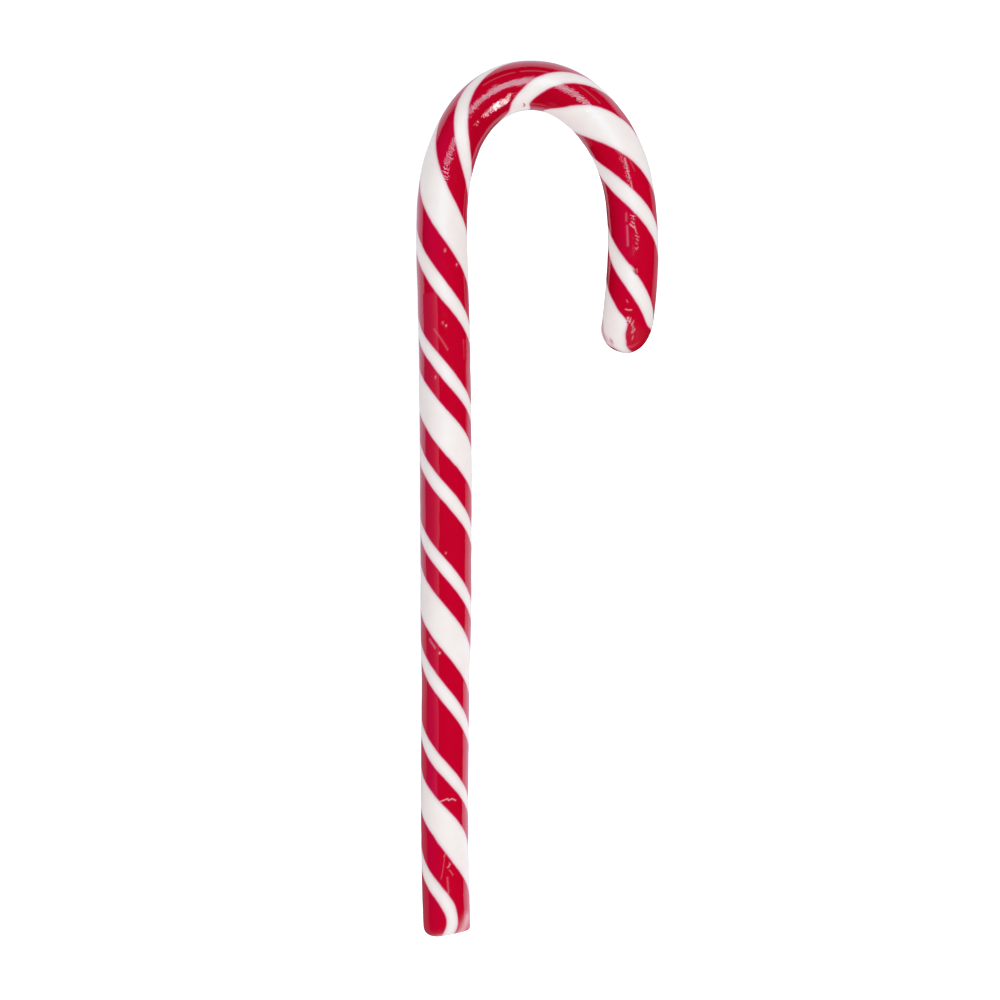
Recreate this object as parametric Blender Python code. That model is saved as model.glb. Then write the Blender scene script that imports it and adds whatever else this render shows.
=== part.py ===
"""A candy cane lying flat: one rod of boiled sugar, bent over at the top into a hook.

Metres, +Z up. The shaft runs along +Y, the hook turns over toward +X, and the side that
is looked at faces up. The rod rests on a narrow flat along its underside, at z = 0, and
the origin is the middle of the cane's outline on that plane.
"""

import bmesh
import bpy
import numpy as np

# The rod, from the cut foot of the shaft to the tip of the hook: how far along it each
# bend reaches, and how many degrees it turns there toward the inside of the hook.
START_HEADING = 92.3
BENDS = (
    (0.030, 3.0),
    (0.036, -0.7),
    (0.030, -0.7),
    (0.015, -1.3),
    (0.013, 2.2),
    (0.016, 28.9),
    (0.022, 100.2),
    (0.018, 42.4),
    (0.014, 12.4),
    (0.014, 4.2),
)
ROD_LENGTH = sum(length for length, turn in BENDS)
BEND_EASING = 0.005

# The rod's diameter at a few distances along it, as pulling and rolling left it.
GIRTH = (
    (0.000, 0.0081),
    (0.044, 0.0082),
    (0.053, 0.0087),
    (0.080, 0.0089),
    (0.120, 0.0088),
    (0.140, 0.0085),
    (0.150, 0.0085),
    (0.162, 0.0087),
    (0.174, 0.0087),
    (0.182, 0.0085),
    (0.196, 0.0088),
)
GIRTH_EASING = 0.004

# The cut foot is a low dome that slants, with a round corner on its left and a nearly sharp
# one on its right. The tip of the hook is a blunt dome, longer on the outside of the hook.
FOOT_DOME_HEIGHT = 0.0023
FOOT_LEFT_FULLNESS = 2.6
FOOT_RIGHT_FULLNESS = 8.0
FOOT_SLANT = 9.0
FOOT_SLANT_REACH = 0.009
TIP_INNER_HEIGHT = 0.0041
TIP_OUTER_HEIGHT = 0.0063
TIP_DOME_FULLNESS = 2.05

# The mesh: flats round the rod, the lowest of which it lies on, and rings along it.
SIDES = 24
SHAFT_LENGTH = 0.108
SHAFT_RINGS = 34
HOOK_RINGS = 42
DOME_RINGS = 7
PATH_STEP = 0.0001

SUGAR_RED = (0.55, 0.003, 0.022, 1.0)
SUGAR_ROUGHNESS = 0.12
SUGAR_COAT = 0.5


def eased(values, reach):
    """Average evenly spaced values over a reach to both sides, so that corners round off."""
    half = int(round(reach / PATH_STEP))
    ends = np.arange(1, half + 1)
    before = values[0] - (values[1] - values[0]) * ends[::-1]
    after = values[-1] + (values[-1] - values[-2]) * ends
    padded = np.concatenate((before, values, after))
    return np.convolve(padded, np.full(2 * half + 1, 1 / (2 * half + 1)), mode="valid")


def path_distances():
    """Closely spaced distances along the rod, from foot to tip."""
    return np.arange(int(round(ROD_LENGTH / PATH_STEP)) + 1) * PATH_STEP


def headings():
    """The direction the rod runs in at each path distance, in radians from +X toward +Y."""
    lengths, turns = np.array(BENDS).T
    knots = np.concatenate(((0.0,), np.cumsum(lengths)))
    turned = np.concatenate(((0.0,), np.cumsum(turns)))
    degrees = START_HEADING - np.interp(path_distances(), knots, turned)
    return np.radians(eased(degrees, BEND_EASING))


def centre_line(heading):
    """The rod's middle in plan at each path distance: small steps along the heading, added up."""
    middle = (heading[1:] + heading[:-1]) / 2
    steps = np.stack((np.cos(middle), np.sin(middle)), axis=1) * PATH_STEP
    return np.concatenate((np.zeros((1, 2)), np.cumsum(steps, axis=0)))


def rod_radius():
    """The rod's radius at each path distance, before its ends are rounded."""
    places, diameters = np.array(GIRTH).T
    return eased(np.interp(path_distances(), places, diameters), GIRTH_EASING) / 2


def dome(depth, height, fullness):
    """How much of its full radius a rounded end has, at a depth below the end's pole."""
    rest = 1 - np.clip(depth / height, 0, 1)
    return (1 - rest**fullness) ** (1 / fullness)


def from_left_to_right(angle, left, right):
    """A size that goes from left to right with the sine of the angle round the rod."""
    return left + (right - left) * (1 + np.sin(angle)) / 2


def ring_distances():
    """Where the rings of the mesh are: close together on the ends, then along shaft and hook."""
    turn = np.linspace(0, np.pi / 2, DOME_RINGS + 1)[1:]
    foot = FOOT_DOME_HEIGHT * (1 - np.cos(turn))
    tip = ROD_LENGTH - TIP_OUTER_HEIGHT * (1 - np.cos(turn[::-1]))
    shaft = np.linspace(foot[-1], SHAFT_LENGTH, SHAFT_RINGS)[1:]
    hook = np.linspace(SHAFT_LENGTH, tip[0], HOOK_RINGS)[1:-1]
    return np.concatenate((foot, shaft, hook, tip))


def ring_points():
    """Each ring's points, and the two poles, as arrays of places in space."""
    distance = path_distances()
    heading = headings()
    plan = centre_line(heading)
    radius = rod_radius()
    half_flat = np.pi / SIDES
    lift = radius * np.cos(half_flat)

    along = ring_distances()
    slant = np.radians(FOOT_SLANT) * np.clip(1 - along / FOOT_SLANT_REACH, 0, 1)
    facing = np.interp(along, distance, heading) + slant
    across = np.stack((np.sin(facing), -np.cos(facing), np.zeros_like(facing)), axis=1)
    middle = np.stack(
        [np.interp(along, distance, values) for values in (*plan.T, lift)], axis=1
    )
    angle = np.arange(SIDES) * 2 * half_flat + half_flat
    foot_fullness = from_left_to_right(angle, FOOT_LEFT_FULLNESS, FOOT_RIGHT_FULLNESS)
    tip_height = from_left_to_right(angle, TIP_OUTER_HEIGHT, TIP_INNER_HEIGHT)
    left_to_foot, left_to_tip = along[:, None], ROD_LENGTH - along[:, None]
    reach = np.interp(along, distance, radius)[:, None]
    reach = reach * dome(left_to_foot, FOOT_DOME_HEIGHT, foot_fullness[None, :])
    reach = reach * dome(left_to_tip, tip_height[None, :], TIP_DOME_FULLNESS)

    sideways = np.sin(angle)[None, :, None] * across[:, None, :]
    upward = np.cos(angle)[None, :, None] * np.array((0.0, 0.0, 1.0))
    rings = middle[:, None, :] + reach[:, :, None] * (sideways + upward)
    poles = np.array([(*plan[end], lift[end]) for end in (0, -1)])
    return rings, poles


def centred(rings, poles):
    """Move the points in plan so that the middle of their outline is the origin."""
    flat = np.concatenate((rings.reshape(-1, 3), poles))
    middle = (flat.min(axis=0) + flat.max(axis=0)) / 2
    middle[2] = 0.0
    return rings - middle, poles - middle


def sugar_material():
    """Boiled sugar: hard, smooth and glossy, dyed red."""
    material = bpy.data.materials.new("red_boiled_sugar")
    material.use_nodes = True
    shader = material.node_tree.nodes["Principled BSDF"]
    shader.inputs["Base Color"].default_value = SUGAR_RED
    shader.inputs["Roughness"].default_value = SUGAR_ROUGHNESS
    shader.inputs["Metallic"].default_value = 0.0
    shader.inputs["Coat Weight"].default_value = SUGAR_COAT
    return material


def cane_mesh():
    """The whole rod as one closed skin: quads between its rings and a fan at each end."""
    rings, poles = centred(*ring_points())
    body = bmesh.new()
    loops = [[body.verts.new(point) for point in ring] for ring in rings]
    foot, tip = (body.verts.new(point) for point in poles)
    neighbours = [(side, (side + 1) % SIDES) for side in range(SIDES)]
    for near, far in zip(loops[:-1], loops[1:]):
        for a, b in neighbours:
            body.faces.new((near[a], far[a], far[b], near[b]))
    for a, b in neighbours:
        body.faces.new((foot, loops[0][a], loops[0][b]))
        body.faces.new((tip, loops[-1][b], loops[-1][a]))
    bmesh.ops.recalc_face_normals(body, faces=body.faces)
    mesh = bpy.data.meshes.new("cane")
    body.to_mesh(mesh)
    body.free()
    mesh.shade_smooth()
    return mesh


def build():
    """Clear the file and make the candy cane, its one piece."""
    for leftover in list(bpy.data.objects):
        bpy.data.objects.remove(leftover)
    cane = bpy.data.objects.new("cane", cane_mesh())
    cane.data.materials.append(sugar_material())
    bpy.context.scene.collection.objects.link(cane)


build()
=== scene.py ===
"""A striped candy cane of boiled sugar, lying flat with its shown side up.

Metres, +Z up. The shaft runs along +Y, the hook turns over toward +X, and the cane rests on
the narrow flat along its underside, at z = 0. A place on the rod is given by how far along it
lies from the cut foot, and by the angle round it: 0 on top, 90 on the side to the right of
someone who walks from the foot toward the tip.
"""

import logging
import math
from dataclasses import dataclass, field
from enum import Enum
from typing import Any, Sequence

import bpy
import numpy as np
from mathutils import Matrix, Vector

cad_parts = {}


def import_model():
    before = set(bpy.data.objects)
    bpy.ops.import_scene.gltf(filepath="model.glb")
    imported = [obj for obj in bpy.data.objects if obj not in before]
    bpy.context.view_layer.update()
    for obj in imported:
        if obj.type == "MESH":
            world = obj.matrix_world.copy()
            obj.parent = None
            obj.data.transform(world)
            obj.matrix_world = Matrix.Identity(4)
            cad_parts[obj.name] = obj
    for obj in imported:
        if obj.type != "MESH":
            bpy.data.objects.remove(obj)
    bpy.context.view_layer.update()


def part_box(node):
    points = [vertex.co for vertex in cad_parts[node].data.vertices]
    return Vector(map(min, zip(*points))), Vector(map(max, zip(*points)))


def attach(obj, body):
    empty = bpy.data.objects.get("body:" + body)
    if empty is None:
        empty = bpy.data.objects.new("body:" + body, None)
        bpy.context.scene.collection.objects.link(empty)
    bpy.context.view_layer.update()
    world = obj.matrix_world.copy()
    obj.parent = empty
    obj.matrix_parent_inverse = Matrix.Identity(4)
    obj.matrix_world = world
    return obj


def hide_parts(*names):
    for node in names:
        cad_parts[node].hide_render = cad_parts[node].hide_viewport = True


LOG = logging.getLogger("candy_cane")

MM = 0.001
NODE_NAME = "cane"
BODY_NAME = "root"

# The attributes that carry the pattern, the marks, the painted shade and the painted glints
# and sheen from the mesh to the material.
STRIPE_DEPTH = "stripe_depth"
# Pale paint: partly whitened sugar, partly painted glints and sheen.
PALED = "paled"
TINTED = "tinted"
# Darker red: the nicks, and the painted shade down the sides and in patches.
DARKENED = "darkened"
DULLED = "dulled"
RIPPLE_HEIGHT = "ripple_height"
RIPPLE_TURNS = "ripple_turns"
BAKE_MAP = "OFBake"

# The middle of the hook, which the lamps and the window face.
AIM = (0.0, 0.05, 0.004)

# A noise stays mostly between 0.25 and 0.75: times this, it wanders by 1 to either side.
NOISE_SPREAD = 4.0


def linear_colour(code: str) -> tuple[float, float, float, float]:
    """Turn an sRGB hex colour into the linear one that the shaders work in.

    A channel up to 0.04045 is divided by 12.92, and one above it is (c + 0.055) / 1.055 to
    the power 2.4.

    Args:
        code: The colour, such as "#C40128".

    Returns:
        Red, green, blue and an alpha of 1.
    """
    channels = [int(code[i : i + 2], 16) / 255 for i in (1, 3, 5)]
    linear = [c / 12.92 if c <= 0.04045 else ((c + 0.055) / 1.055) ** 2.4 for c in channels]
    return (*linear, 1.0)


def add_node(
    tree: Any,
    kind: str,
    inputs: dict[Any, Any],
    settings: dict[str, Any] | None = None,
    output: int | str = 0,
) -> Any:
    """Add one node, set its options, and set or link its input sockets.

    Args:
        tree: The node tree that the node goes into.
        kind: Blender's name for the node's type.
        inputs: What each input socket gets, by name or number: another node's output socket
            is linked, and anything else is set as the value.
        settings: The node's own options, by attribute name.
        output: The name or number of the output socket that is wanted.

    Returns:
        That output socket; the node itself is its node.
    """
    node = tree.nodes.new(kind)
    for name, value in (settings or {}).items():
        setattr(node, name, value)
    for name, value in inputs.items():
        if isinstance(value, bpy.types.NodeSocket):
            tree.links.new(value, node.inputs[name])
        else:
            node.inputs[name].default_value = value
    return node.outputs[output]


def smooth_step(values: np.ndarray, low: float, high: float) -> np.ndarray:
    """Rise from 0 at low to 1 at high, as 3t squared less 2t cubed."""
    t = np.clip((values - low) / (high - low), 0.0, 1.0)
    return t * t * (3.0 - 2.0 * t)


def hump(values: np.ndarray, centre: float, reach: float) -> np.ndarray:
    """Rise smoothly from 0 at a reach to either side of the centre to 1 at the centre."""
    return 1.0 - smooth_step(np.abs(values - centre), 0.0, reach)


@dataclass
class PulledRod:
    """The rod itself: its bent centre line and its girth, with the sizes of the CAD part."""

    start_heading: float = 92.3
    bends: tuple[tuple[float, float], ...] = (
        (0.030, 3.0), (0.036, -0.7), (0.030, -0.7), (0.015, -1.3), (0.013, 2.2), (0.016, 28.9),
        (0.022, 100.2), (0.018, 42.4), (0.014, 12.4), (0.014, 4.2),
    )
    bend_easing: float = 0.005
    girth: tuple[tuple[float, float], ...] = (
        (0.000, 0.0081), (0.044, 0.0082), (0.053, 0.0087), (0.080, 0.0089), (0.120, 0.0088),
        (0.140, 0.0085), (0.150, 0.0085), (0.162, 0.0087), (0.174, 0.0087), (0.182, 0.0085),
        (0.196, 0.0088),
    )
    girth_easing: float = 0.004
    # The rounded ends' heights and fullness: 2 is an ellipse, and more is squarer.
    foot_height: float = 0.0023
    foot_left_fullness: float = 2.6
    foot_right_fullness: float = 8.0
    foot_slant: float = 9.0
    foot_slant_reach: float = 0.009
    tip_inner_height: float = 0.0041
    tip_outer_height: float = 0.0063
    tip_fullness: float = 2.05
    flat_sides: int = 24
    step: float = 0.0001
    length: float = field(init=False)
    distance: np.ndarray = field(init=False)
    heading: np.ndarray = field(init=False)
    plan: np.ndarray = field(init=False)
    radius: np.ndarray = field(init=False)

    def __post_init__(self) -> None:
        """Work out the heading, the place in plan and the radius at closely spaced distances.

        The heading is the start less the turns so far, eased. The plan adds up short steps
        along the mean heading of each. The radius is half the eased girth.
        """
        lengths, turns = np.array(self.bends).T
        self.length = float(lengths.sum())
        self.distance = np.arange(int(round(self.length / self.step)) + 1) * self.step
        knots = np.concatenate(((0.0,), np.cumsum(lengths)))
        turned = np.concatenate(((0.0,), np.cumsum(turns)))
        degrees = self.start_heading - np.interp(self.distance, knots, turned)
        self.heading = np.radians(self.eased(degrees, self.bend_easing))
        middle = (self.heading[1:] + self.heading[:-1]) / 2
        steps = np.stack((np.cos(middle), np.sin(middle)), axis=1) * self.step
        self.plan = np.concatenate((np.zeros((1, 2)), np.cumsum(steps, axis=0)))
        places, diameters = np.array(self.girth).T
        widths = np.interp(self.distance, places, diameters)
        self.radius = self.eased(widths, self.girth_easing) / 2

    def eased(self, values: np.ndarray, reach: float) -> np.ndarray:
        """Average evenly spaced values over a reach to both sides, so that corners round off.

        Args:
            values: One value for each path distance.
            reach: How far the average reaches, in metres.

        Returns:
            The averaged values, as many as came in.
        """
        half = int(round(reach / self.step))
        ends = np.arange(1, half + 1)
        before = values[0] - (values[1] - values[0]) * ends[::-1]
        after = values[-1] + (values[-1] - values[-2]) * ends
        padded = np.concatenate((before, values, after))
        return np.convolve(padded, np.full(2 * half + 1, 1 / (2 * half + 1)), mode="valid")

    @staticmethod
    def dome(depth: np.ndarray, height: Any, fullness: Any) -> np.ndarray:
        """Give the radius's share: 1 less the height's rest to the fullness, to 1 over that."""
        rest = 1 - np.clip(depth / height, 0, 1)
        return (1 - rest**fullness) ** (1 / fullness)

    @staticmethod
    def from_left_to_right(around: np.ndarray, left: float, right: float) -> np.ndarray:
        """Give a size that goes from left to right with the sine of the angle round the rod."""
        return left + (right - left) * (1 + np.sin(around)) / 2

    def end_share(self, along: np.ndarray, around: np.ndarray) -> np.ndarray:
        """Give the share of the full radius that both rounded ends leave at each point.

        The foot has a round corner on its left and a nearly sharp one on its right. The tip's
        dome is longer on its left, which is the outside of the hook.

        Args:
            along: Distances along the rod in metres, one for each point.
            around: Angles round the rod in radians, one for each point.

        Returns:
            The share, from 0 at the poles to 1.
        """
        fullness = self.from_left_to_right(
            around, self.foot_left_fullness, self.foot_right_fullness
        )
        height = self.from_left_to_right(around, self.tip_outer_height, self.tip_inner_height)
        foot = self.dome(along, self.foot_height, fullness)
        return foot * self.dome(self.length - along, height, self.tip_fullness)

    def surface(self, along: np.ndarray, around: np.ndarray, relief: np.ndarray) -> np.ndarray:
        """Place points on the rod's skin.

        A point is the middle of the rod plus its radius, with the relief added, times the sine
        of the angle round it across the rod and the cosine of it upward. The middle is lifted
        until the flat touches z = 0, and what would sink below that is laid on it.

        Args:
            along: Distances along the rod, one for each point.
            around: Angles round the rod in radians, one for each point.
            relief: How far the skin stands out, in metres, one for each point.

        Returns:
            The points, with x, y and z in the last axis, not yet centred in plan.
        """
        slant = np.radians(self.foot_slant) * np.clip(1 - along / self.foot_slant_reach, 0, 1)
        facing = np.interp(along, self.distance, self.heading) + slant
        full = np.interp(along, self.distance, self.radius)
        reach = (full + relief) * self.end_share(along, around)
        sideways = reach * np.sin(around)
        x = np.interp(along, self.distance, self.plan[:, 0]) + sideways * np.sin(facing)
        y = np.interp(along, self.distance, self.plan[:, 1]) - sideways * np.cos(facing)
        z = full * np.cos(np.pi / self.flat_sides) + reach * np.cos(around)
        return np.stack((x, y, np.maximum(z, 0.0)), axis=-1)


@dataclass(frozen=True)
class Nudge:
    """A place where the soft sugar was pushed: the stripes run a little early or late there."""

    along: float
    around: float
    reach_along: float
    reach_around: float
    degrees: float


@dataclass
class WoundStripes:
    """The white stripes, which lie in the red rod and were twisted with it.

    The pattern is a circle of colours that turns as it goes along: one broad white stripe and
    two narrow ones. Its angle at a point is the angle round the rod plus the twist so far, and
    it leans a little, because a bend pushes the soft sugar to one side.
    """

    start: float = -118.0
    twist: tuple[tuple[float, float], ...] = (
        (2.0, -18), (0.8, 2), (3.2, 18), (6, 58), (6, 50), (12, 134), (16, 168), (16, 167),
        (16, 168), (16, 175), (16, 155), (14, 119), (14, 109), (14, 110), (14, 129), (14, 109),
        (14, 131), (7, 67), (2.4, 18.5), (2.8, 1.5), (0.9, 8), (0.9, 56),
    )
    twist_easing: float = 0.0015
    broad_half: tuple[tuple[float, float], ...] = (
        (10, 38.5), (22, 38.5), (52, 42.5), (88, 44), (126, 39), (168, 39.5), (180, 41.5),
        (200, 45.5),
    )
    narrow_middles: tuple[float, float] = (109.0, 243.5)
    narrow_half: tuple[tuple[float, float, float], ...] = (
        (0, 15.0, 12.0), (3.5, 16.0, 12.5), (6, 16.5, 15.0), (9.5, 17.5, 18.0), (30, 17.5, 18.5),
        (140, 17.5, 18.5), (152, 17.5, 20.0), (180, 19.5, 20.5), (200, 19.5, 21.0),
    )
    lean: tuple[tuple[float, float], ...] = (
        (0, -6), (5, -11), (12, -12), (30, -8), (45, -4), (120, -5), (150, -7), (175, -11),
        (200, -6),
    )
    crown_push: float = 20.5
    crown_middle: float = 0.158
    crown_reach: float = 0.024
    least_half_width: float = 0.00105
    # In mm: the ends' poles are taken to be this thick, so that the pattern has a scale there.
    least_radius: float = 0.1
    nudges: tuple[Nudge, ...] = (
        Nudge(2.8, 34, 3.2, 36, 6.0), Nudge(88, -55, 14, 60, -6.0), Nudge(104, -55, 8, 50, 3.0),
        Nudge(148, 66, 6, 34, -9.0), Nudge(152.2, 76, 3.5, 30, -22.0),
        Nudge(157.5, 66, 5, 46, 12.0), Nudge(202.7, 5, 2.4, 45, 7.0),
        Nudge(205.2, -90, 3.8, 60, 50.0), Nudge(207.1, -18, 1.2, 60, -16.0),
    )

    def depth(self, rod: PulledRod, along: np.ndarray, around: np.ndarray) -> np.ndarray:
        """Say how deep in a white stripe each point is.

        The pattern's angle is the angle round the rod, plus the twist, plus the lean times the
        sine of the angle, plus the push times its cosine less 1, plus the nudges. The depth is
        a stripe's half width less the distance from its middle, over the degrees that a
        millimetre square to its edge takes, and the deepest of the three stripes counts.

        Args:
            rod: The rod that the stripes are in.
            along: Distances along the rod in metres, one for each point.
            around: Angles round the rod in radians, one for each point.

        Returns:
            Millimetres inside the nearest edge of a stripe, below 0 in the red.
        """
        lengths, turns = np.array(self.twist).T
        knots = np.concatenate(((0.0,), np.cumsum(lengths))) * MM
        turned = self.start + np.concatenate(((0.0,), np.cumsum(turns)))
        twist = rod.eased(np.interp(rod.distance, knots, turned), self.twist_easing)
        pace = np.interp(along, rod.distance, np.gradient(twist, rod.step)) * MM
        lean_at, lean_by = np.array(self.lean).T
        push = self.crown_push * hump(along, self.crown_middle, self.crown_reach)
        angle = (
            np.degrees(around)
            + np.interp(along, rod.distance, twist)
            + np.interp(along, lean_at * MM, lean_by) * np.sin(around)
            + push * (np.cos(around) - 1)
            + self.nudged(along, around)
        )
        radius = np.interp(along, rod.distance, rod.radius) * rod.end_share(along, around)
        radius = np.maximum(radius, self.least_radius * MM)
        slope = np.hypot(pace, np.degrees(1.0) * MM / radius)
        least = np.degrees(np.arcsin(np.minimum(1.0, self.least_half_width / radius)))
        half_at, half = np.array(self.broad_half).T
        inside = np.interp(along, half_at * MM, half) - self.off_middle(angle, 0.0)
        narrow_at, *narrow_halves = np.array(self.narrow_half).T
        for middle, halves in zip(self.narrow_middles, narrow_halves):
            half = np.maximum(np.interp(along, narrow_at * MM, halves), least)
            inside = np.maximum(inside, half - self.off_middle(angle, middle))
        return inside / slope

    def nudged(self, along: np.ndarray, around: np.ndarray) -> np.ndarray:
        """Add up the nudges, in degrees: each is a hump along the rod times one round it.

        Args:
            along: Distances along the rod in metres, one for each point.
            around: Angles round the rod in radians, one for each point.

        Returns:
            How many degrees the stripes run ahead, one for each point.
        """
        total = np.zeros_like(along)
        for nudge in self.nudges:
            lengthways = hump(along / MM, nudge.along, nudge.reach_along)
            total += nudge.degrees * lengthways * hump(
                np.degrees(around), nudge.around, nudge.reach_around
            )
        return total

    @staticmethod
    def off_middle(angle: np.ndarray, middle: float) -> np.ndarray:
        """Give the degrees between each angle and a stripe's middle, the short way round."""
        return np.abs((angle - middle + 180.0) % 360.0 - 180.0)


@dataclass(frozen=True)
class MarkStyle:
    """What a kind of mark does: its height in mm, and how pale, tinted or dark it looks."""

    height: float
    paled: float = 0.0
    tinted: float = 0.0
    darkened: float = 0.0


class MarkKind(Enum):
    """The marks that handling and cooling left on the sugar, and painted glints and highlights."""

    # A scratch's pale paint is partly whitened sugar and partly a painted glint.
    SCRATCH_AND_GLINT = MarkStyle(-0.006, paled=0.9)
    # A rub's pale paint is partly a real rub and partly a painted highlight line.
    RUB_AND_HIGHLIGHT = MarkStyle(-0.004, paled=0.55)
    BUBBLE = MarkStyle(0.025, paled=0.9)
    CREASE = MarkStyle(-0.030)
    NICK = MarkStyle(-0.030, darkened=1.0)
    STAIN = MarkStyle(0.0, tinted=1.0)
    # A pale pink sheen painted on the rim of the foot.
    RIM_SHEEN = MarkStyle(0.001, paled=0.6)


@dataclass(frozen=True)
class Mark:
    """One mark: a line of places on the rod, each (mm along, degrees round), and its size."""

    kind: MarkKind
    path: tuple[tuple[float, float], ...]
    width: float = 0.12
    strength: float = 1.0


@dataclass(frozen=True)
class RipplePatch:
    """A stretch of fine ripples: its ends in mm, its middle and reach in degrees, its height."""

    start: float
    end: float
    around: float
    reach: float
    height: float


@dataclass(frozen=True)
class ShadeAndTintPatch:
    """Red with painted shade, a pink tint, or both: middles and reaches in mm and degrees."""

    along: float
    reach_along: float
    around: float
    reach_around: float
    darkened: float = 0.0
    tinted: float = 0.0


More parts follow.
